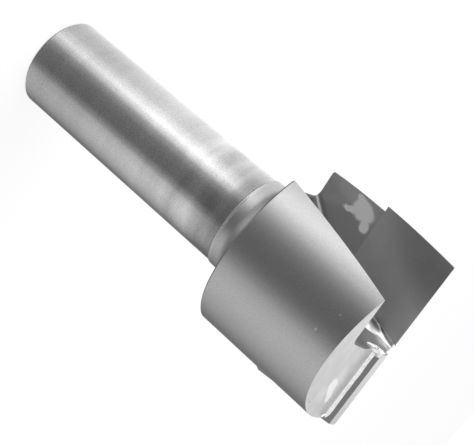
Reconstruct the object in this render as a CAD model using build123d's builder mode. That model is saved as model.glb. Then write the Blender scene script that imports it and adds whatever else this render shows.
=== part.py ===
from build123d import *
from math import atan2, cos, radians, sin, sqrt, tan
import os

os.makedirs("parts", exist_ok=True)

# A straight-shank mortising router bit with two brazed, sheared tips.  Sizes are in mm.
# It stands on its shank end at z = 0 with the cutter up and turns about Z.
# "drop" is a distance below the cutting plane at the top.

# shank and neck
shank_d = 12.7            # 1/2 in collet size
shank_len = 38.1          # from the end to the shoulder, 1-1/2 in
shank_chamfer = 0.3
neck_len = 4.0            # neck between the ground shank and the shoulder
neck_step = 0.15          # the neck is left this much larger in radius
neck_taper = 0.05         # and swells by this before the fillet
neck_fillet = 3.0

# cutter body
cutting_d = 25.4          # 1 in
edge_stand = 0.8          # side edges stand this far out of the body
body_len = 19.5           # shoulder to cutting plane
body_edge = 0.2           # bevel round the shoulder
roof_drop = 0.85          # on the axis the steel stands this far below the cutting plane
roof_slope = 0.2          # and falls away from there, rise over run
web_half = 0.73           # half length of the centre web between the tips
web_drop = 0.2

# rake face and gullet
shear_angle = 17.5        # lean of the rake face from the axis
wall_gap = 9.05           # gullet width at the cutting plane
wall_angle = 11.6         # lean of the far wall from the axis
root_x = 0.1              # gullet floor to axis at the cutting plane
root_r = 34.5             # radius of the floor where it runs out towards the shank
root_fillet = 0.63
knee_angle = 22.3         # the outer half of the floor is turned by this about the axis
knee_off = 1.6            # and lies this far back
knee_fillet = 4.0
wall_fillet = 1.2

# brazed tips
tip_thick = 1.7           # square to the rake face
tip_len = 10.8            # along the axis
tip_clearance = 9.0       # bottom clearance angle
side_relief = 22.0        # angle behind the side edge, kept all along it
side_margin = 0.22        # land on the side edge, on the cutting circle
side_taper = 0.1          # the cutting circle shrinks by this in radius along the tip
corner_bevel = 0.1

# braze
bead_top = 0.85           # drop of the bead's edge on the back of the tip
bead_out = 0.25           # reach of the bead over the steel
bead_hollow = 0.08        # depth of its hollow face
bead_short = 0.1          # the bead stops this far inside the body
solder_back = 2.25        # middle of the solder run out at the bead's inner end, behind the axis
solder_drop = 1.15
solder_length = 1.0
solder_width = 1.8
solder_height = 2.0

overall = shank_len + body_len
shank_r = shank_d / 2
neck_r = shank_r + neck_step
fillet_r = neck_r + neck_taper                   # where the fillet under the shoulder starts
edge_r = cutting_d / 2
body_r = edge_r - edge_stand
shear = tan(radians(shear_angle))
wall_slope = tan(radians(wall_angle))
tip_y = tip_thick / cos(radians(shear_angle))    # tip thickness measured across the axis
over = 2.0                                       # tools start this far above the cutter
runout = body_len + neck_fillet + over           # and the gullet tool ends at this drop
wide = 2 * cutting_d                             # further out than any piece
BOTH_SIDES = (0, 180)


def z_at(drop):
    return overall - drop


def rake_y(drop):
    return -shear * drop


def wall_y(drop):
    return wall_gap - wall_slope * drop


def run(drop):
    """How far the gullet floor has moved outwards at this drop."""
    return root_r - sqrt(root_r**2 - max(drop, 0) ** 2)


def roof(y):
    return roof_drop + roof_slope * abs(y)


def on_rake(p):
    return p.Y - rake_y(overall - p.Z)


def on_wall(p):
    return p.Y - wall_y(overall - p.Z)


def on_floor(p):
    return p.X - root_x - run(overall - p.Z)


def on_knee(p):
    turn = radians(knee_angle)
    return p.X * cos(turn) - p.Y * sin(turn) + knee_off - run(overall - p.Z)


def shared_edges(part, first, second):
    """Edges that lie on both surfaces, each given as a distance from it."""
    return part.edges().filter_by(
        lambda e: all(abs(side(e @ u)) < 0.01 for side in (first, second) for u in (0.25, 0.75))
    )


def floor_outline(x):
    """Side view of what lies outside the gullet floor, on the current sketch plane."""
    Polyline(
        (x, z_at(0)), (x, z_at(-over)), (x + wide, z_at(-over)),
        (x + wide, z_at(runout)), (x + run(runout), z_at(runout)),
    )
    ThreePointArc(
        (x + run(runout), z_at(runout)), (x + run(runout / 2), z_at(runout / 2)), (x, z_at(0))
    )


# Everything in front of the rake face on the +X side, as the milling cutter leaves it
turned = Plane(
    origin=(0, 0, 0),
    x_dir=(cos(radians(knee_angle)), -sin(radians(knee_angle)), 0),
    z_dir=(-sin(radians(knee_angle)), -cos(radians(knee_angle)), 0),
)
with BuildPart() as gullet:
    with BuildSketch(Plane.YZ.offset(-edge_r)):
        with BuildLine():
            Polyline(
                (rake_y(-over), z_at(-over)), (wall_y(-over), z_at(-over)),
                (wall_y(runout), z_at(runout)), (rake_y(runout), z_at(runout)),
                close=True,
            )
        make_face()
    extrude(amount=wide)
    for plane, start in ((Plane.XZ, root_x), (turned, -knee_off)):
        with BuildSketch(plane):
            with BuildLine():
                floor_outline(start)
            make_face()
        extrude(amount=wide, both=True, mode=Mode.INTERSECT)
    fillet(shared_edges(gullet, on_rake, on_floor), root_fillet)
    fillet(shared_edges(gullet, on_wall, on_knee), wall_fillet)
    fillet(shared_edges(gullet, on_floor, on_knee), knee_fillet)

# The slanting slot behind the rake face that a tip is brazed into
with BuildPart() as tip_slot:
    with BuildSketch(Plane.YZ.offset(web_half)):
        with BuildLine():
            Polyline(
                (rake_y(-over), z_at(-over)), (rake_y(tip_len), z_at(tip_len)),
                (rake_y(tip_len) - tip_y, z_at(tip_len)), (rake_y(-over) - tip_y, z_at(-over)),
                close=True,
            )
        make_face()
    extrude(amount=cutting_d)


# ---- steel body: shank, neck and fluted head, turned and milled from one bar
with BuildPart() as steel_body:
    with BuildSketch(Plane.XZ):
        with BuildLine():
            Polyline(
                (0, 0), (shank_r - shank_chamfer, 0), (shank_r, shank_chamfer),
                (shank_r, shank_len - neck_len - neck_step), (neck_r, shank_len - neck_len),
                (fillet_r, shank_len - neck_fillet),
            )
            RadiusArc(
                (fillet_r, shank_len - neck_fillet), (fillet_r + neck_fillet, shank_len), neck_fillet
            )
            Polyline(
                (fillet_r + neck_fillet, shank_len), (body_r - body_edge, shank_len),
                (body_r, shank_len + body_edge), (body_r, overall), (0, overall), (0, 0),
            )
        make_face()
    revolve(axis=Axis.Z)
    with BuildSketch(Plane.YZ):                  # bottom clearance, falling away both ways
        with BuildLine():
            Polyline(
                (0, z_at(roof(0))), (wide, z_at(roof(wide))), (wide, overall),
                (-wide, overall), (-wide, z_at(roof(wide))),
                close=True,
            )
        make_face()
    extrude(amount=wide, both=True, mode=Mode.SUBTRACT)
    with BuildSketch(Plane.XY.offset(z_at(roof(tip_y)))):      # centre web
        Rectangle(2 * web_half, 2 * tip_y)
    extrude(amount=roof(tip_y) - web_drop)
    with PolarLocations(0, 2):
        add(gullet.part, mode=Mode.SUBTRACT)
        add(tip_slot.part, mode=Mode.SUBTRACT)
steel_body.part.label = "steel_body"
export_step(steel_body.part, "parts/steel_body.step")


# ---- carbide tips, ground to the cutting circle once brazed in
def edge_at(drop):
    """Radius of the cutting circle at this drop."""
    return edge_r - side_taper * drop / tip_len


def relief_outline(drop):
    """Plan view of what is ground off behind the side edge, on the current sketch plane."""
    y = rake_y(drop) - side_margin
    land_end = Vector(sqrt(edge_at(drop) ** 2 - y**2), y)
    heading = atan2(-land_end.Y, land_end.X) + radians(side_relief)
    back = Vector(-sin(heading), -cos(heading)) * edge_r
    out = Vector(cos(heading), -sin(heading)) * edge_r
    Polyline(land_end, land_end + back, land_end + back + out, land_end + out, close=True)


with BuildPart() as side_relief_cut:
    for drop in (-over, tip_len / 3, 2 * tip_len / 3, tip_len + over):
        with BuildSketch(Plane.XY.offset(z_at(drop))):
            with BuildLine():
                relief_outline(drop)
            make_face()
    loft()

with BuildPart() as tip:
    add(tip_slot.part)
    with BuildSketch(Plane.XZ):                  # side edge, on the slightly tapered cutting circle
        with BuildLine():
            Polyline(
                (0, z_at(-over)), (edge_at(-over), z_at(-over)),
                (edge_at(tip_len), z_at(tip_len)), (0, z_at(tip_len)),
                close=True,
            )
        make_face()
    revolve(axis=Axis.Z, mode=Mode.INTERSECT)
    add(side_relief_cut.part, mode=Mode.SUBTRACT)
    with BuildSketch(Plane.YZ):                  # bottom clearance
        fall = edge_r * tan(radians(tip_clearance))
        with BuildLine():
            Polyline(
                (edge_r, overall + fall), (-edge_r, overall - fall), (-edge_r, overall + wide),
                (edge_r, overall + wide), close=True,
            )
        make_face()
    extrude(amount=wide, mode=Mode.SUBTRACT)
    with BuildSketch(Plane.XZ):                  # small bevel on the outer corner
        with BuildLine():
            Polyline(
                (edge_r - corner_bevel, overall), (edge_r + over, overall - corner_bevel - over),
                (edge_r + over, overall), close=True,
            )
        make_face()
    extrude(amount=wide, both=True, mode=Mode.SUBTRACT)

for number, turn in enumerate(BOTH_SIDES, start=1):
    with BuildPart() as carbide_tip:
        add(tip.part.rotate(Axis.Z, turn))
    carbide_tip.part.label = f"carbide_tip_{number}"
    export_step(carbide_tip.part, f"parts/carbide_tip_{number}.step")


# ---- braze: a hollow bead along the back of each tip, with solder run out at its inner end
corner_drop = (roof_drop + roof_slope * tip_y) / (1 - roof_slope * shear)
corner_y = rake_y(corner_drop) - tip_y           # where the back of the tip meets the steel
bead_low = corner_drop + over                    # drawn down to here, then the steel is taken off
bead_start = (rake_y(bead_top) - tip_y, z_at(bead_top))
bead_end = (corner_y - bead_out, z_at(roof(corner_y - bead_out)))
chord_mid = ((bead_start[0] + bead_end[0]) / 2, (bead_start[1] + bead_end[1]) / 2)
chord = Vector(bead_end[0] - bead_start[0], bead_end[1] - bead_start[1]).normalized()
bead_mid = (chord_mid[0] - bead_hollow * chord.Y, chord_mid[1] + bead_hollow * chord.X)

with BuildPart() as unit_ball:
    Sphere(1.0)
solder_size = (solder_length / 2, solder_width / 2, solder_height / 2)
solder = scale(unit_ball.part, by=solder_size).moved(
    Location((0, -solder_back, z_at(solder_drop)))
)
with BuildPart() as bead:
    with BuildSketch(Plane.YZ.offset(-root_x)):
        with BuildLine():
            Polyline(
                bead_end, (bead_end[0], z_at(bead_low)), (-tip_y, z_at(bead_low)),
                bead_start,
            )
            ThreePointArc(bead_start, bead_mid, bead_end)
        make_face()
    extrude(amount=cutting_d)
    with BuildSketch(Plane.XY.offset(z_at(bead_low))):
        Circle(body_r - bead_short)
    extrude(amount=bead_low, mode=Mode.INTERSECT)
    add(solder)
    add(steel_body.part, mode=Mode.SUBTRACT)
    add(tip_slot.part, mode=Mode.SUBTRACT)

for number, turn in enumerate(BOTH_SIDES, start=1):
    with BuildPart() as braze_bead:
        add(bead.part.rotate(Axis.Z, turn))
    braze_bead.part.label = f"braze_bead_{number}"
    export_step(braze_bead.part, f"parts/braze_bead_{number}.step")
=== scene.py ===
import random
from math import cos, exp, hypot, pi, radians, sqrt, tan

import bmesh
import bpy
from mathutils import Matrix, Vector


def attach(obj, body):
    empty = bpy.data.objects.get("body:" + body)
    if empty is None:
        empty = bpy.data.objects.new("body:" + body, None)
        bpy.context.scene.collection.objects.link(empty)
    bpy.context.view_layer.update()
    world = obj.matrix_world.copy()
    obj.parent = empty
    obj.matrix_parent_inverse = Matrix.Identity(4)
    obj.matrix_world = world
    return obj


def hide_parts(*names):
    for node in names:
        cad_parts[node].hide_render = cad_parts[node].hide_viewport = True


MM = 0.001
BOTH_SIDES = (1, -1)     # the head is the same half a turn round

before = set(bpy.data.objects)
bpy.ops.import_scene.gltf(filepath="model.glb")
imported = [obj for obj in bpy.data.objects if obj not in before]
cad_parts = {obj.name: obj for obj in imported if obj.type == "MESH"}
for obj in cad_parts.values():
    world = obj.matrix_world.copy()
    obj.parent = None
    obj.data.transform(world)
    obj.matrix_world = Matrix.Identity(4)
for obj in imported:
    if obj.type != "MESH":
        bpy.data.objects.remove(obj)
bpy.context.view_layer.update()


# ---- node helpers

def node(tree, kind, values=None, links=None, **settings):
    """Add one shader node, set its settings and sockets, and link what feeds it."""
    made = tree.nodes.new("ShaderNode" + kind)
    for name, value in settings.items():
        setattr(made, name, value)
    for socket, value in (values or {}).items():
        made.inputs[socket].default_value = value
    for socket, source in (links or {}).items():
        tree.links.new(source, made.inputs[socket])
    return made


def math(tree, operation, first, second=None):
    """One arithmetic node; each term is a number or a socket."""
    made = node(tree, "Math", operation=operation)
    for slot, term in enumerate((first, second)):
        if term is None:
            continue
        if isinstance(term, (int, float)):
            made.inputs[slot].default_value = term
        else:
            tree.links.new(term, made.inputs[slot])
    return made.outputs[0]


def ramp(tree, source, stops, interpolation="LINEAR"):
    """A ramp over greys; stops are (position, grey)."""
    made = node(tree, "ValToRGB", links={"Fac": source})
    band = made.color_ramp
    band.interpolation = interpolation
    while len(band.elements) > 1:
        band.elements.remove(band.elements[-1])
    for number, (position, grey) in enumerate(stops):
        stop = band.elements[0] if number == 0 else band.elements.new(position)
        stop.position = position
        stop.color = (grey, grey, grey, 1)
    return made.outputs["Color"]


def step(tree, source, low, high, to_low=0.0, to_high=1.0):
    """Smooth step of a value from low to high."""
    made = node(tree, "MapRange", interpolation_type="SMOOTHSTEP",
                values={"From Min": low, "From Max": high, "To Min": to_low, "To Max": to_high},
                links={"Value": source})
    return made.outputs["Result"]


def mix(tree, factor, first, second):
    """Blend two greys or colours; each is a grey as a number, or a socket."""
    made = node(tree, "Mix", data_type="RGBA")
    for slot, term in ((0, factor), (6, first), (7, second)):
        if isinstance(term, bpy.types.NodeSocket):
            tree.links.new(term, made.inputs[slot])
        else:
            made.inputs[slot].default_value = term if slot == 0 else (term, term, term, 1)
    return made.outputs[2]


def both(tree, first, second):
    """1 where both masks are 1; also scales one value by another."""
    return math(tree, "MULTIPLY", first, second)


# ---- camera

CAMERA_PLACE = Vector((-53.413, -103.899, 71.585)) * MM
CAMERA_RIGHT = Vector((-0.47433, 0.51203, 0.71613))
CAMERA_UP = Vector((-0.76303, 0.16662, -0.62452))
LENS = 75.97
SENSOR = 36.0


def make_camera():
    data = bpy.data.cameras.new("camera")
    data.lens = LENS
    data.sensor_width = SENSOR
    data.clip_start = 0.005
    data.clip_end = 20
    camera = bpy.data.objects.new("camera", data)
    back = CAMERA_RIGHT.cross(CAMERA_UP)
    turn = Matrix((CAMERA_RIGHT, CAMERA_UP, back)).transposed()
    camera.matrix_world = Matrix.Translation(CAMERA_PLACE) @ turn.to_4x4()
    bpy.context.collection.objects.link(camera)
    bpy.context.scene.camera = camera


# ---- studio: a ring of soft panels and dark gaps, a pale ceiling and a white sweep

FRONT = 242.8            # compass direction of the dark gap's middle, degrees from +X
PANELS = (               # degrees round from the front, brightness
    (-180, 1.3), (-162, 1.12), (-140, 0.98), (-120, 0.92), (-100, 0.86), (-80, 0.86),
    (-62, 1.15), (-48, 1.5), (-36, 1.0), (-22, 0.36), (-6, 0.17), (12, 0.13), (28, 0.13),
    (42, 0.3), (54, 0.6), (76, 0.68),
    (92, 0.62), (108, 0.52), (124, 0.38), (142, 0.22), (156, 0.16), (172, 0.5), (180, 1.35),
)
CEILING = 0.95
CEILING_FROM = (0.25, 0.55)      # heights on a unit sphere between which the panels end in it
UNDERFOOT = 0.2          # the dark table edge below the camera
UNDERFOOT_FROM = (-0.64, -0.5)
SHEET = 0.55             # a sheet of paper lying on it, then which way and how far it spreads
SHEET_WAY = (-0.5, -0.35, -0.79)
SHEET_REACH = (0.76, 0.88)
SHEET_EDGE = (-0.8, -0.7)        # and the heights between which it ends
FLOOR_RADIUS = 3         # metres
FLOOR_WHITE = 0.9
FLOOR_GLOW = 0.85        # how much of the floor the camera sees as plain white
LAMP_PLACE = Vector((-0.35, 0.1, 0.75))
LAMP_WIDTH = 0.5
LAMP_POWER = 3           # watts


def make_world():
    world = bpy.data.worlds.new("studio")
    bpy.context.scene.world = world
    world.use_nodes = True
    world.cycles.sampling_method = "NONE"
    tree = world.node_tree
    tree.nodes.clear()
    way = node(tree, "TexCoord").outputs["Generated"]
    turned = node(tree, "VectorRotate", rotation_type="Z_AXIS",
                  values={"Angle": -radians(FRONT)}, links={"Vector": way})
    compass = node(tree, "TexGradient", gradient_type="RADIAL",
                   links={"Vector": turned.outputs[0]})
    ring = ramp(tree, compass.outputs["Fac"], [(0.5 + a / 360, b) for a, b in PANELS], "EASE")
    height = node(tree, "SeparateXYZ", links={"Vector": way}).outputs["Z"]
    upper = mix(tree, step(tree, height, *CEILING_FROM), ring, CEILING)
    towards = node(tree, "VectorMath", operation="DOT_PRODUCT", values={1: SHEET_WAY},
                   links={0: way}).outputs["Value"]
    on_sheet = both(tree, step(tree, towards, *SHEET_REACH),
                    step(tree, height, *SHEET_EDGE, 1.0, 0.0))
    lower = mix(tree, on_sheet, UNDERFOOT, SHEET)
    around = mix(tree, step(tree, height, *UNDERFOOT_FROM), lower, upper)
    # the camera sees plain white; the metal is lit by the panels and shows them
    seen = node(tree, "LightPath").outputs["Is Camera Ray"]
    light = mix(tree, seen, around, 1.0)
    background = node(tree, "Background", links={"Color": light})
    node(tree, "OutputWorld", links={"Surface": background.outputs[0]})


def make_floor():
    bpy.ops.mesh.primitive_circle_add(vertices=96, radius=FLOOR_RADIUS, fill_type="NGON")
    floor = bpy.context.object
    floor.name = "floor"
    floor.visible_glossy = False
    material = bpy.data.materials.new("white_sweep")
    material.use_nodes = True
    tree = material.node_tree
    tree.nodes.clear()
    paper = node(tree, "BsdfDiffuse", values={"Color": (FLOOR_WHITE, FLOOR_WHITE, FLOOR_WHITE, 1)})
    glow = node(tree, "Emission", values={"Color": (1, 1, 1, 1), "Strength": 1.0})
    seen = node(tree, "LightPath").outputs["Is Camera Ray"]
    share = math(tree, "MULTIPLY", seen, FLOOR_GLOW)
    sheet = node(tree, "MixShader", links={0: share, 1: paper.outputs[0], 2: glow.outputs[0]})
    node(tree, "OutputMaterial", links={"Surface": sheet.outputs[0]})
    floor.data.materials.append(material)


def make_lamp():
    data = bpy.data.lights.new("overhead", "AREA")
    data.shape = "DISK"
    data.size = LAMP_WIDTH
    data.energy = LAMP_POWER
    lamp = bpy.data.objects.new("overhead", data)
    lamp.location = LAMP_PLACE
    lamp.rotation_euler = (-LAMP_PLACE).to_track_quat("-Z", "Y").to_euler()
    bpy.context.collection.objects.link(lamp)


# ---- materials

def place_in_mm(tree):
    """Object coordinates, counted in mm."""
    here = node(tree, "TexCoord").outputs["Object"]
    return node(tree, "VectorMath", operation="SCALE", values={"Scale": 1 / MM},
                links={0: here}).outputs[0]


def grain(tree, place, stretch, detail=2.0):
    """Noise about 0.5, its features one over the stretch long in mm."""
    drawn = node(tree, "Mapping", values={"Scale": stretch}, links={0: place})
    return node(tree, "TexNoise", values={"Scale": 1.0, "Detail": detail},
                links={"Vector": drawn.outputs[0]}).outputs[0]


def ragged(tree, place, size, amount):
    """The same place, shifted about so that an outline drawn on it comes out uneven."""
    drift = node(tree, "TexNoise", values={"Scale": 1.0 / size, "Detail": 3.0},
                 links={"Vector": place}).outputs[1]
    centred = node(tree, "VectorMath", operation="SUBTRACT", values={1: (0.5, 0.5, 0.5)},
                   links={0: drift})
    shift = node(tree, "VectorMath", operation="SCALE", values={"Scale": 2 * amount},
                 links={0: centred.outputs[0]})
    return node(tree, "VectorMath", operation="ADD",
                links={0: place, 1: shift.outputs[0]}).outputs[0]


def length(tree, vector):
    """How long a vector is."""
    return node(tree, "VectorMath", operation="LENGTH", links={0: vector}).outputs["Value"]


def spot(tree, place, centre, reach, turn=(0, 0, 0), soft=0.25):
    """1 inside an ellipsoid, fading out at its edge; it is turned by angles in degrees."""
    turned = [radians(t) for t in turn]
    local = node(tree, "Mapping", vector_type="TEXTURE", links={"Vector": place},
                 values={"Location": centre, "Rotation": turned, "Scale": reach})
    return step(tree, length(tree, local.outputs[0]), 1 - soft, 1 + soft, 1.0, 0.0)


def either(tree, masks):
    """The masks laid over each other."""
    joined = masks[0]
    for mask in masks[1:]:
        joined = math(tree, "MAXIMUM", joined, mask)
    return joined


def metal(name, grey, roughness):
    """A material with one metal shader, its node tree and that shader."""
    material = bpy.data.materials.new(name)
    material.use_nodes = True
    tree = material.node_tree
    tree.nodes.clear()
    shader = node(tree, "BsdfPrincipled", values={
        "Base Color": (grey, grey, grey, 1), "Metallic": 1.0, "Roughness": roughness})
    node(tree, "OutputMaterial", links={"Surface": shader.outputs[0]})
    return material, tree, shader


# places on the steel, in mm up the tool and out from its axis
SHANK_TOP = 34.0         # the ground shank ends and the neck begins
SHOULDER = 38.1          # the neck ends and the head begins
HEAD_RADIUS = 11.9
WORN_FROM = (17, 27)     # the shank's bands grow stronger between these heights
LAND_FROM = (50, 52)     # the bottom land lies above these
GULLET_FROM = (50, 53)   # and so does the end of a gullet's floor that is made lighter with a painted reflection
FLARE_FROM = (31.2, 35.6)

# greys, roughness and heights of relief, each for one finish, save the greys that are painted light
# and shade
SHANK_SPAN = 40          # mm that the shank's greys are spread over, from its end
# painted shade along the shank: lighter in its middle, darker at its far end and darker still
# towards the neck, where the shoulder is reflected
SHANK_SHADING_GREYS = (
    (0.0, 0.72), (0.1, 0.69), (0.2, 0.66), (0.45, 0.78), (0.66, 0.82), (0.78, 0.68),
    (0.83, 0.54), (0.95, 0.48),
)
BODY_GREYS = ((0.25, 0.55), (0.75, 0.69))
LAND_GREYS = ((0.3, 0.63), (0.7, 0.72))
SKIN_GREYS = ((0.2, 0.86), (0.8, 0.97))
# the gullet's grey is a painted reflection, and the haze grey is a painted glow round the bottom
# land's painted highlights
WING_GREY, GULLET_REFLECTION_GREY, HIGHLIGHT_GLOW_GREY, SPECK_GREY = 0.42, 0.7, 0.85, 0.2
SHANK_ROUGH, NECK_ROUGH, BODY_ROUGH = 0.23, 0.36, 0.3
WING_ROUGH, FLUX_ROUGH, LAND_ROUGH = 0.34, 0.7, 0.34
BRUSHED = 0.7            # how far the grinding marks spread the shank's reflections
FLARE_HEIGHT, ROLL_HEIGHT, TOOTH_HEIGHT, SATIN_HEIGHT = 0.5, 0.19, 0.003, 0.0025

# marks, each with its centre and its reach in mm
NICKS = (                # centre, reach, softness
    ((-1.93, -11.74, 51.48), (0.19, 0.6, 0.13), 0.5),
    ((-4.76, -10.9, 52.55), (0.13, 0.6, 0.1), 0.6),
)
SMUDGE = (               # dried flux on one wing: centre, reach, turn
    ((-9.35, 4.2, 44.5), (1.3, 2.5, 1.8), (0, 0, 0)),
    ((-10.2, 4.3, 43.8), (0.55, 2.5, 1.2), (0, 12, 0)),
    ((-8.45, 4.6, 43.0), (0.42, 2.5, 1.3), (0, -22, 0)),
    ((-8.0, 3.8, 45.7), (0.8, 2.5, 0.8), (0, 0, 0)),
)
LAND_HIGHLIGHTS = (         # painted highlights on the bottom land: centre, reach, turn
    ((5.6, -5.8, 55.6), (1.75, 0.75, 1.2), (0, 0, 25)),
    ((7.3, -4.95, 55.8), (1.25, 0.5, 1.2), (0, 0, 22)),
)
LAND_HIGHLIGHT_GLOW = (            # and a paler painted glow round them
    ((4.6, -5.1, 55.8), (2.2, 0.8, 1.2), (0, 0, 20)),
    ((6.3, -7.2, 55.4), (1.8, 0.7, 1.2), (0, 0, 35)),
)
BLOOM = ((-10.6, 5, 42), (1.5, 3, 4.5))          # a pale bloom below the smudge
SKIN = ((-0.2, -1.2, 55.9), (0.6, 1.9, 2.1))     # solder that wetted the gullet's floor
SKIN_FADE = ((-0.3, -2.2, 56.0), (6, 6, 6))
RIPPLE_CENTRE = (-0.3, -2.4, 56.2)
SPECK = ((7.29, -8.66, 55.02), (0.14, 0.14, 0.5))

LAPPED_GREYS = ((0.3, 0.47), (0.7, 0.59))        # carbide
GROUND_SHEEN_GREYS = ((0.3, 0.62), (0.7, 0.72))
SINTERED_GREY = 0.25
LAPPED_ROUGH, GROUND_ROUGH = 0.42, 0.28

BRIGHT_GREYS = ((0.3, 0.74), (0.6, 0.9))         # braze
HOLLOW_SHADE_GREY, ROOT_PATCH_GREY = 0.22, 0.3


def steel_material():
    """Turned, ground and milled steel: each surface has the finish of the tool that left it, with
    painted shade along the shank, a painted reflection on the end of each gullet's floor and
    painted highlights on the bottom land.
    """
    material, tree, shader = metal("ground_steel", 0.62, 0.3)
    place = place_in_mm(tree)
    z = node(tree, "SeparateXYZ", links={0: place}).outputs["Z"]
    flat = node(tree, "VectorMath", operation="MULTIPLY", values={1: (1, 1, 0)}, links={0: place})
    radius = length(tree, flat.outputs[0])
    facing = node(tree, "TexCoord").outputs["Normal"]
    upward = node(tree, "SeparateXYZ", links={0: facing}).outputs["Z"]
    sideways = node(tree, "SeparateXYZ", links={0: facing}).outputs["X"]

    on_shank = step(tree, z, SHANK_TOP, SHANK_TOP + 0.12, 1.0, 0.0)
    on_head = step(tree, z, SHOULDER - 0.2, SHOULDER - 0.05)
    milled = both(tree, on_head,
                  step(tree, radius, HEAD_RADIUS - 0.2, HEAD_RADIUS - 0.05, 1.0, 0.0))
    on_land = both(tree, step(tree, upward, 0.85, 0.95), step(tree, z, *LAND_FROM))

    # shank: a fine tooth with faint marks round the bar, in bands where the wheel dwelt, over
    # painted shade that darkens towards the neck
    marks = grain(tree, place, (1.4, 1.4, 5.0))
    tooth = grain(tree, place, (5.5, 5.5, 5.5))
    bands = grain(tree, place, (0.06, 0.06, 0.42))
    worn = step(tree, z, *WORN_FROM, 0.3, 1.1)
    shank_shading = ramp(tree, math(tree, "MULTIPLY", z, 1 / SHANK_SPAN), SHANK_SHADING_GREYS)
    lift = math(tree, "MULTIPLY", math(tree, "SUBTRACT", bands, 0.5), worn)
    streak = math(tree, "MULTIPLY", math(tree, "SUBTRACT", marks, 0.5), 0.16)
    fleck = math(tree, "MULTIPLY", math(tree, "SUBTRACT", tooth, 0.5), 0.5)
    gain = math(tree, "ADD", 1.0, math(tree, "ADD", lift, math(tree, "ADD", streak, fleck)))
    shank_colour = node(tree, "VectorMath", operation="SCALE",
                        links={0: shank_shading, "Scale": gain}).outputs[0]

    # cutter body: a satin turned surface, with a few bright nicks
    satin = grain(tree, place, (7, 7, 7))
    nicks = either(tree, [spot(tree, place, centre, reach, soft=soft)
                          for centre, reach, soft in NICKS])
    body_grey = ramp(tree, satin, BODY_GREYS)
    body_colour = mix(tree, nicks, body_grey, 1.0)

    # rake faces and gullets: smoother and darker, with the smudge, a painted reflection on the end
    # of each gullet's floor, and a skin of solder by the root
    uneven = ragged(tree, place, 0.9, 0.35)
    smudge = either(tree, [spot(tree, uneven, *patch, soft=0.22) for patch in SMUDGE])
    bloom = spot(tree, uneven, *BLOOM, soft=0.6)
    haze = either(tree, [smudge, math(tree, "MULTIPLY", bloom, 0.3)])
    # painted reflection: the end of each gullet's floor is made lighter than the wing
    on_floor = both(tree, step(tree, math(tree, "ABSOLUTE", sideways), 0.75, 0.92),
                    step(tree, z, *GULLET_FROM))
    wing_grey = mix(tree, haze, mix(tree, on_floor, WING_GREY, GULLET_REFLECTION_GREY), 1.0)
    off_pool = node(tree, "VectorMath", operation="SUBTRACT", values={1: RIPPLE_CENTRE},
                    links={0: place}).outputs[0]
    ripples = node(tree, "TexWave", wave_type="RINGS", rings_direction="SPHERICAL",
                   values={"Scale": 0.7, "Distortion": 5.0, "Detail": 3.0, "Detail Scale": 1.2},
                   links={"Vector": off_pool})
    skin = both(tree, spot(tree, uneven, *SKIN, soft=0.3), spot(tree, place, *SKIN_FADE, soft=1.0))
    skin_grey = ramp(tree, ripples.outputs[1], SKIN_GREYS)
    wing_colour = mix(tree, skin, wing_grey, skin_grey)
    wing_rough = mix(tree, haze, WING_ROUGH, FLUX_ROUGH)

    # bottom land: ground, light, with painted highlights and a painted glow round them, and a speck
    blotches = grain(tree, place, (0.5, 0.8, 0.5), 3.0)
    soft_edge = ragged(tree, place, 1.2, 0.3)
    # painted highlights on the bottom land, and a paler painted glow round them
    painted_highlight = either(tree, [spot(tree, soft_edge, *patch, soft=0.2) for patch in LAND_HIGHLIGHTS])
    highlight_glow = either(tree, [spot(tree, soft_edge, *patch, soft=0.6) for patch in LAND_HIGHLIGHT_GLOW])
    land_grey = ramp(tree, blotches, LAND_GREYS)
    land_glowing = mix(tree, math(tree, "MULTIPLY", highlight_glow, 0.45), land_grey, HIGHLIGHT_GLOW_GREY)
    land_highlighted = mix(tree, painted_highlight, land_glowing, 1.0)
    speck = spot(tree, place, *SPECK, soft=0.5)
    land_colour = mix(tree, math(tree, "MULTIPLY", speck, 0.6), land_highlighted, SPECK_GREY)

    colour = mix(tree, on_shank, body_colour, shank_colour)
    colour = mix(tree, milled, colour, wing_colour)
    colour = mix(tree, on_land, colour, land_colour)
    on_neck = both(tree, step(tree, z, SHANK_TOP + 0.2, SHANK_TOP + 0.6),
                   step(tree, z, SHOULDER - 0.1, SHOULDER, 1.0, 0.0))
    rough = mix(tree, on_shank, mix(tree, on_neck, BODY_ROUGH, NECK_ROUGH), SHANK_ROUGH)
    rough = mix(tree, milled, rough, wing_rough)
    rough = mix(tree, on_land, rough, LAND_ROUGH)
    tree.links.new(colour, shader.inputs["Base Color"])
    tree.links.new(rough, shader.inputs["Roughness"])

    # the grinding marks spread reflections along the bar
    tree.links.new(math(tree, "MULTIPLY", on_shank, BRUSHED), shader.inputs["Anisotropic"])
    shader.inputs["Anisotropic Rotation"].default_value = 0.25
    around = node(tree, "Tangent", direction_type="RADIAL", axis="Z")
    tree.links.new(around.outputs[0], shader.inputs["Tangent"])

    # relief in mm: the wheel's run-out flares the end of the shank, the neck starts with a rolled
    # edge, and everything has a fine tooth
    flare = both(tree, on_shank, step(tree, z, *FLARE_FROM, 0.0, FLARE_HEIGHT))
    rolled = both(tree, step(tree, z, SHANK_TOP + 0.1, SHANK_TOP + 0.5, ROLL_HEIGHT, 0.0),
                  step(tree, z, SHANK_TOP, SHANK_TOP + 0.08))
    fine = both(tree, math(tree, "ADD", marks, tooth), both(tree, on_shank, TOOTH_HEIGHT))
    rest = both(tree, satin, SATIN_HEIGHT)
    height = math(tree, "ADD", math(tree, "ADD", flare, rolled), math(tree, "ADD", fine, rest))
    relief = node(tree, "Bump", values={"Strength": 1.0, "Distance": MM}, links={"Height": height})
    tree.links.new(relief.outputs[0], shader.inputs["Normal"])
    return material


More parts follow.
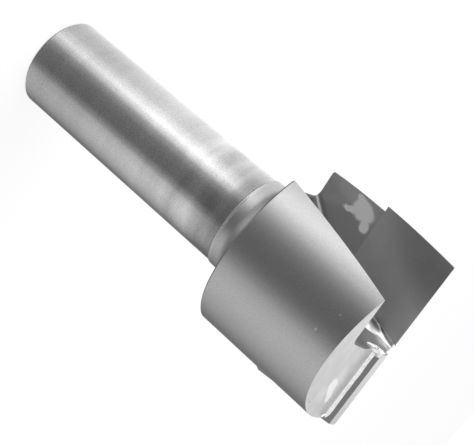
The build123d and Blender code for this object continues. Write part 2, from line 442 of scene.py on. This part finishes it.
def carbide_material():
    """Carbide: its rake face lapped dark, its bottom ground light and given a painted sheen, its
    back as it was sintered.
    """
    material, tree, shader = metal("carbide", 0.48, 0.4)
    place = place_in_mm(tree)
    facing = node(tree, "SeparateXYZ", links={0: node(tree, "TexCoord").outputs["Normal"]})
    side = node(tree, "SeparateXYZ", links={0: place}).outputs["X"]
    turned = math(tree, "MULTIPLY", math(tree, "SIGN", side), facing.outputs["Y"])
    at_back = step(tree, turned, -0.9, -0.7, 1.0, 0.0)
    at_bottom = step(tree, facing.outputs["Z"], 0.8, 0.92)
    lines = grain(tree, place, (7, 1.2, 0.6))
    cloud = grain(tree, place, (0.35, 0.35, 0.35))
    tooth = grain(tree, place, (8, 8, 8))
    tone = math(tree, "ADD", math(tree, "MULTIPLY", lines, 0.3), math(tree, "MULTIPLY", cloud, 0.3))
    tone = math(tree, "ADD", tone, math(tree, "MULTIPLY", tooth, 0.4))
    lapped = ramp(tree, tone, LAPPED_GREYS)
    ground = ramp(tree, tone, GROUND_SHEEN_GREYS)
    colour = mix(tree, at_back, lapped, SINTERED_GREY)
    # the bottom's lighter grey is its ground finish and a painted sheen as well
    colour = mix(tree, at_bottom, colour, ground)
    tree.links.new(colour, shader.inputs["Base Color"])
    rough = mix(tree, at_bottom, LAPPED_ROUGH, GROUND_ROUGH)
    tree.links.new(rough, shader.inputs["Roughness"])
    return material


def braze_material():
    """Bright silver solder, with painted shade in the pool's hollow and a darker patch up the
    gullet's root.
    """
    material, tree, shader = metal("braze", 0.85, 0.18)
    place = place_in_mm(tree)
    dull = grain(tree, place, (2.2, 2.2, 2.2), 3.0)
    bright = ramp(tree, dull, BRIGHT_GREYS)
    # painted shade in the hollow of each pool
    hollow_shade = either(tree, [
        spot(tree, place, (-0.4 * side, -2.72 * side, 56.42), (0.35, 0.12, 0.36),
             (-21 * side, 0, 0), 0.3)
        for side in BOTH_SIDES
    ])
    # a darker patch on the solder up each gullet's root
    root_patch = either(tree, [
        spot(tree, place, (-0.8 * side, 0.72 * side, 54.3), (0.4, 0.5, 1.5), soft=0.5)
        for side in BOTH_SIDES
    ])
    dulled = mix(tree, root_patch, bright, ROOT_PATCH_GREY)
    tree.links.new(mix(tree, hollow_shade, dulled, HOLLOW_SHADE_GREY), shader.inputs["Base Color"])
    ripple = grain(tree, place, (1.6, 1.6, 1.6), 1.0)
    relief = node(tree, "Bump", values={"Strength": 0.6, "Distance": 0.04 * MM},
                  links={"Height": ripple})
    tree.links.new(relief.outputs[0], shader.inputs["Normal"])
    return material


def dress(name, material):
    """Give a solid from the source its material."""
    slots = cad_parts[name].data.materials
    slots.clear()
    slots.append(material)


# ---- braze: run along the joints of each tip by a swept profile, with a pool at the inner end

OVERALL = 57.6           # these are as in the source, mm
SHEAR_ANGLE = radians(17.5)
SHEAR = tan(SHEAR_ANGLE)
ROOF_DROP, ROOF_SLOPE = 0.85, 0.2
TIP_Y = 1.7 / cos(SHEAR_ANGLE)                   # a tip's thickness, measured across the axis
CORNER_DROP = (ROOF_DROP + ROOF_SLOPE * TIP_Y) / (1 - ROOF_SLOPE * SHEAR)
CORNER_Y = -SHEAR * CORNER_DROP - TIP_Y          # where the back of a tip meets the bottom land
ROOT_X, ROOT_R = 0.1, 34.5                       # where the gullet's floor is and how it curves
BEAD_PROFILE = (         # y, z from that corner, mm
    (0.255, 0.7), (0.18, 0.52), (0.105, 0.355), (0.035, 0.225), (-0.04, 0.12), (-0.12, 0.04),
    (-0.2, -0.033), (-0.15, -0.12), (0.12, -0.1), (0.32, 0.64),
)
BEAD_START, BEAD_END = -0.1, 11.55               # from the axis out, mm
BEAD_STATIONS = 58
BEAD_WANDER, BEAD_HOLD = 0.055, 0.72             # how its width wanders from station to station
BEAD_FLARE, FLARE_LENGTH = 0.9, 0.4              # it widens towards its inner end
THIN_SHARE, THINNED = 0.08, 0.45                 # and thins out over this last share of it
OUTER_DROP = ((11.3, -2.55, 56.27), (0.22, 0.5, 0.11), 0.2)      # place, reach, tilt
INNER_DROP = ((0.42, -2.02, 56.98), (0.55, 0.28, 0.42), -0.3)
BURIED = 0.08            # how far a run's back lies inside the steel and the carbide
CLOSE = 1e-3             # mm, for picking out one point
RUN_SECTIONS = (         # drop, then x, y of the solder's skin from the gullet's root line
    (5.2, (0.0, -1.3), (-0.1, -1.1), (-0.2, -0.85), (-0.3, -0.55), (-0.34, -0.3), (-0.37, -0.1),
     (-0.39, -0.01)),
    (4.7, (0.0, -1.85), (-0.22, -1.5), (-0.42, -1.12), (-0.56, -0.7), (-0.62, -0.35), (-0.65, -0.1),
     (-0.67, -0.01)),
    (4.1, (0.0, -2.0), (-0.26, -1.62), (-0.48, -1.2), (-0.61, -0.72), (-0.67, -0.35), (-0.7, -0.1),
     (-0.72, -0.01)),
    (3.5, (0.0, -1.84), (-0.24, -1.52), (-0.42, -1.18), (-0.53, -0.7), (-0.61, -0.35),
     (-0.66, -0.1), (-0.7, -0.015)),
    (2.9, (0.0, -1.25), (-0.22, -0.97), (-0.39, -0.7), (-0.5, -0.4), (-0.57, -0.2), (-0.66, -0.08),
     (-0.76, -0.02)),
    (2.4, (0.0, -0.85), (-0.2, -0.62), (-0.35, -0.4), (-0.46, -0.2), (-0.58, -0.1), (-0.7, -0.06),
     (-0.8, -0.03)),
    (1.9, (0.0, -0.62), (-0.17, -0.42), (-0.32, -0.24), (-0.44, -0.13), (-0.56, -0.08),
     (-0.68, -0.06), (-0.8, -0.04)),
    (1.3, (0.0, -0.5), (-0.15, -0.32), (-0.29, -0.17), (-0.4, -0.1), (-0.52, -0.075),
     (-0.63, -0.06), (-0.74, -0.045)),
    (0.7, (0.0, -0.45), (-0.13, -0.28), (-0.25, -0.15), (-0.36, -0.09), (-0.47, -0.07),
     (-0.57, -0.055), (-0.67, -0.045)),
    (0.2, (0.0, -0.42), (-0.12, -0.26), (-0.23, -0.14), (-0.33, -0.08), (-0.43, -0.06),
     (-0.52, -0.05), (-0.62, -0.04)),
)


def select_where(test):
    """In edit mode, select just the vertices whose place passes the test."""
    mesh = bmesh.from_edit_mesh(bpy.context.object.data)
    for vertex in mesh.verts:
        vertex.select = test(vertex.co / MM)
    mesh.select_flush_mode()
    bmesh.update_edit_mesh(bpy.context.object.data)


def start_profile(name, points):
    """A flat face drawn through the points, in mm, left in edit mode with all of it selected."""
    bpy.ops.object.select_all(action="DESELECT")
    bpy.ops.mesh.primitive_circle_add(vertices=len(points), radius=MM, fill_type="NGON")
    piece = bpy.context.object
    piece.name = name
    bpy.ops.object.mode_set(mode="EDIT")
    bpy.ops.mesh.select_mode(type="VERT")
    mesh = bmesh.from_edit_mesh(piece.data)
    mesh.verts.ensure_lookup_table()
    starts = [vertex.co.copy() for vertex in mesh.verts]
    for start, point in zip(starts, points):
        select_where(lambda here: (here - start / MM).length < CLOSE / 10)
        bpy.ops.transform.translate(value=Vector(point) * MM - start)
    bpy.ops.mesh.select_all(action="SELECT")
    return piece


def carry_to(last, here, scales):
    """Extrude the selected end face to the next station and size it about that station."""
    bpy.ops.mesh.extrude_region_move(TRANSFORM_OT_translate={"value": (here - last) * MM})
    bpy.ops.transform.resize(value=scales, center_override=here * MM)


def finish_piece(piece, angle=50):
    """Leave edit mode with the faces pointing outwards and shaded smooth up to the angle."""
    bpy.ops.mesh.select_all(action="SELECT")
    bpy.ops.mesh.normals_make_consistent(inside=False)
    bpy.ops.object.mode_set(mode="OBJECT")
    bpy.ops.object.select_all(action="DESELECT")
    piece.select_set(True)
    bpy.context.view_layer.objects.active = piece
    bpy.ops.object.shade_smooth_by_angle(angle=radians(angle))


def run_bead():
    """The bead along the back of a tip, its edges a little wavy and its outer end thinning out."""
    random.seed(7)
    last = Vector((BEAD_START, CORNER_Y, OVERALL - CORNER_DROP))
    piece = start_profile("braze_bead", [last + Vector((0, y, z)) for y, z in BEAD_PROFILE])
    size = 1 + BEAD_FLARE
    bpy.ops.transform.resize(value=(1, size, size), center_override=last * MM)
    drift = 0.0
    for number in range(1, BEAD_STATIONS + 1):
        share = number / BEAD_STATIONS
        drift = BEAD_HOLD * drift + random.uniform(-BEAD_WANDER, BEAD_WANDER)
        fade = 1.0 - THINNED * max(0.0, (share - (1 - THIN_SHARE)) / THIN_SHARE) ** 2
        along = BEAD_START + (BEAD_END - BEAD_START) * share
        here = Vector((along, CORNER_Y, OVERALL - CORNER_DROP))
        flare = BEAD_FLARE * exp(-(here.x - BEAD_START) / FLARE_LENGTH)
        wanted = (1.0 + drift + flare) * fade
        ratio = wanted / size
        carry_to(last, here, (1, ratio, ratio))
        last, size = here, wanted
    finish_piece(piece)
    return piece


def root_line(drop):
    """Where the gullet floor meets the other tip's rake face, on the gullet that lies at -X."""
    run_out = ROOT_R - sqrt(ROOT_R**2 - drop**2)
    return Vector((-ROOT_X - run_out, SHEAR * drop, OVERALL - drop))


def run_outline(drop, skin):
    """The skin of one section, closed inside the steel and the carbide."""
    root = root_line(drop)
    last = skin[-1]
    buried = ((last[0] - 0.04, 0.05), (BURIED, BURIED), (BURIED, skin[0][1] + 0.03))
    return [root + Vector((x, y, 0)) for x, y in (*skin, *buried)]


def run_root():
    """Solder drawn into the root of the gullet, against the inner end of a tip."""
    random.seed(11)
    drop, *skin = RUN_SECTIONS[0]
    outline = run_outline(drop, skin)
    piece = start_profile("braze_run", outline)
    for drop, *skin in RUN_SECTIONS[1:]:
        skin = [(x, y * random.uniform(0.96, 1.04)) for x, y in skin]
        wanted = run_outline(drop, skin)
        lift = Vector((0, 0, wanted[0].z - outline[0].z))
        bpy.ops.mesh.extrude_region_move(TRANSFORM_OT_translate={"value": lift * MM})
        for start, end in zip(outline, wanted):
            select_where(lambda here: (here - start - lift).length < CLOSE)
            bpy.ops.transform.translate(value=(end - start - lift) * MM)
        select_where(lambda here: abs(here.z - wanted[0].z) < CLOSE)
        outline = wanted
    finish_piece(piece, 180)
    rounding = piece.modifiers.new("rounding", "SUBSURF")
    rounding.levels = 3
    bpy.ops.object.modifier_apply(modifier="rounding")
    return piece


POOL_PLACE = Vector((-0.05, -2.5, 56.27))
POOL_ALONG = Vector((-0.035, 0.363, 0.932))      # its long axis lies up the slanting joint
POOL_FACE = Vector((-0.78, -0.56, 0.27))         # and its hollow looks out of the gullet
POOL_SIZE = (1.25, 0.52, 0.36)
POOL_HOLLOW = ((0.36, 0.1), (0.29, 0.14), (0.22, 0.12), (0.14, 0.06))


def pool_of_solder():
    """Solder that set round the inner end of a tip, sunk in its middle as it cooled."""
    bpy.ops.object.select_all(action="DESELECT")
    bpy.ops.mesh.primitive_uv_sphere_add(segments=48, ring_count=32, radius=MM)
    piece = bpy.context.object
    piece.name = "braze_pool"
    bpy.ops.object.mode_set(mode="EDIT")
    for reach, sink in POOL_HOLLOW:
        select_where(lambda here: here.z > 0 and hypot(here.x - 0.05, here.y - 0.05) < reach)
        bpy.ops.transform.translate(value=(0, 0, -sink * MM))
    bpy.ops.mesh.select_all(action="SELECT")
    bpy.ops.transform.resize(value=POOL_SIZE, center_override=(0, 0, 0))
    finish_piece(piece, 180)
    face = POOL_FACE.normalized()
    along = (POOL_ALONG - face * POOL_ALONG.dot(face)).normalized()
    turn = Matrix((along, face.cross(along), face)).transposed()
    piece.matrix_world = Matrix.Translation(POOL_PLACE * MM) @ turn.to_4x4()
    bpy.ops.object.transform_apply(location=True, rotation=True, scale=True)
    return piece


def drop_of_solder(place, reach, tilt):
    """A little solder run out flat at one of the bead's ends, where the joint stops."""
    bpy.ops.object.select_all(action="DESELECT")
    bpy.ops.mesh.primitive_uv_sphere_add(segments=24, ring_count=16, radius=MM)
    piece = bpy.context.object
    bpy.ops.object.mode_set(mode="EDIT")
    bpy.ops.mesh.select_all(action="SELECT")
    bpy.ops.transform.resize(value=reach, center_override=(0, 0, 0))
    finish_piece(piece, 180)
    piece.matrix_world = Matrix.Translation(Vector(place) * MM) @ Matrix.Rotation(tilt, 4, "X")
    bpy.ops.object.transform_apply(location=True, rotation=True, scale=True)
    return piece


def join(pieces, name):
    """Make several pieces one, under a name."""
    bpy.ops.object.select_all(action="DESELECT")
    for piece in pieces:
        piece.select_set(True)
    bpy.context.view_layer.objects.active = pieces[0]
    bpy.ops.object.join()
    joined = bpy.context.object
    joined.name = name
    return joined


def half_turned(piece, name):
    """A copy on the other side of the axis, with its own mesh."""
    other = piece.copy()
    other.data = piece.data.copy()
    other.name = name
    bpy.context.collection.objects.link(other)
    other.matrix_world = Matrix.Rotation(pi, 4, "Z")
    bpy.ops.object.select_all(action="DESELECT")
    other.select_set(True)
    bpy.context.view_layer.objects.active = other
    bpy.ops.object.transform_apply(location=True, rotation=True, scale=True)
    return other


def lay_braze(material):
    """Both sides' solder, and which of the source's beads it replaces."""
    outer_end = drop_of_solder(*OUTER_DROP)
    inner_end = drop_of_solder(*INNER_DROP)
    bead_1 = join([run_bead(), outer_end, inner_end, pool_of_solder()], "braze_fillet_1")
    run_1 = run_root()
    run_1.name = "braze_run_1"
    bead_1.data.materials.append(material)
    run_1.data.materials.append(material)
    bead_2 = half_turned(bead_1, "braze_fillet_2")
    run_2 = half_turned(run_1, "braze_run_2")
    for piece in (bead_1, bead_2, run_1, run_2):
        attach(piece, "root")
    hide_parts("braze_bead_1")
    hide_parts("braze_bead_2")


scene = bpy.context.scene
scene.view_settings.view_transform = "Standard"
make_camera()
make_world()
make_floor()
make_lamp()
steel, carbide, braze = steel_material(), carbide_material(), braze_material()
dress("steel_body", steel)
for number in (1, 2):
    dress(f"carbide_tip_{number}", carbide)
lay_braze(braze)
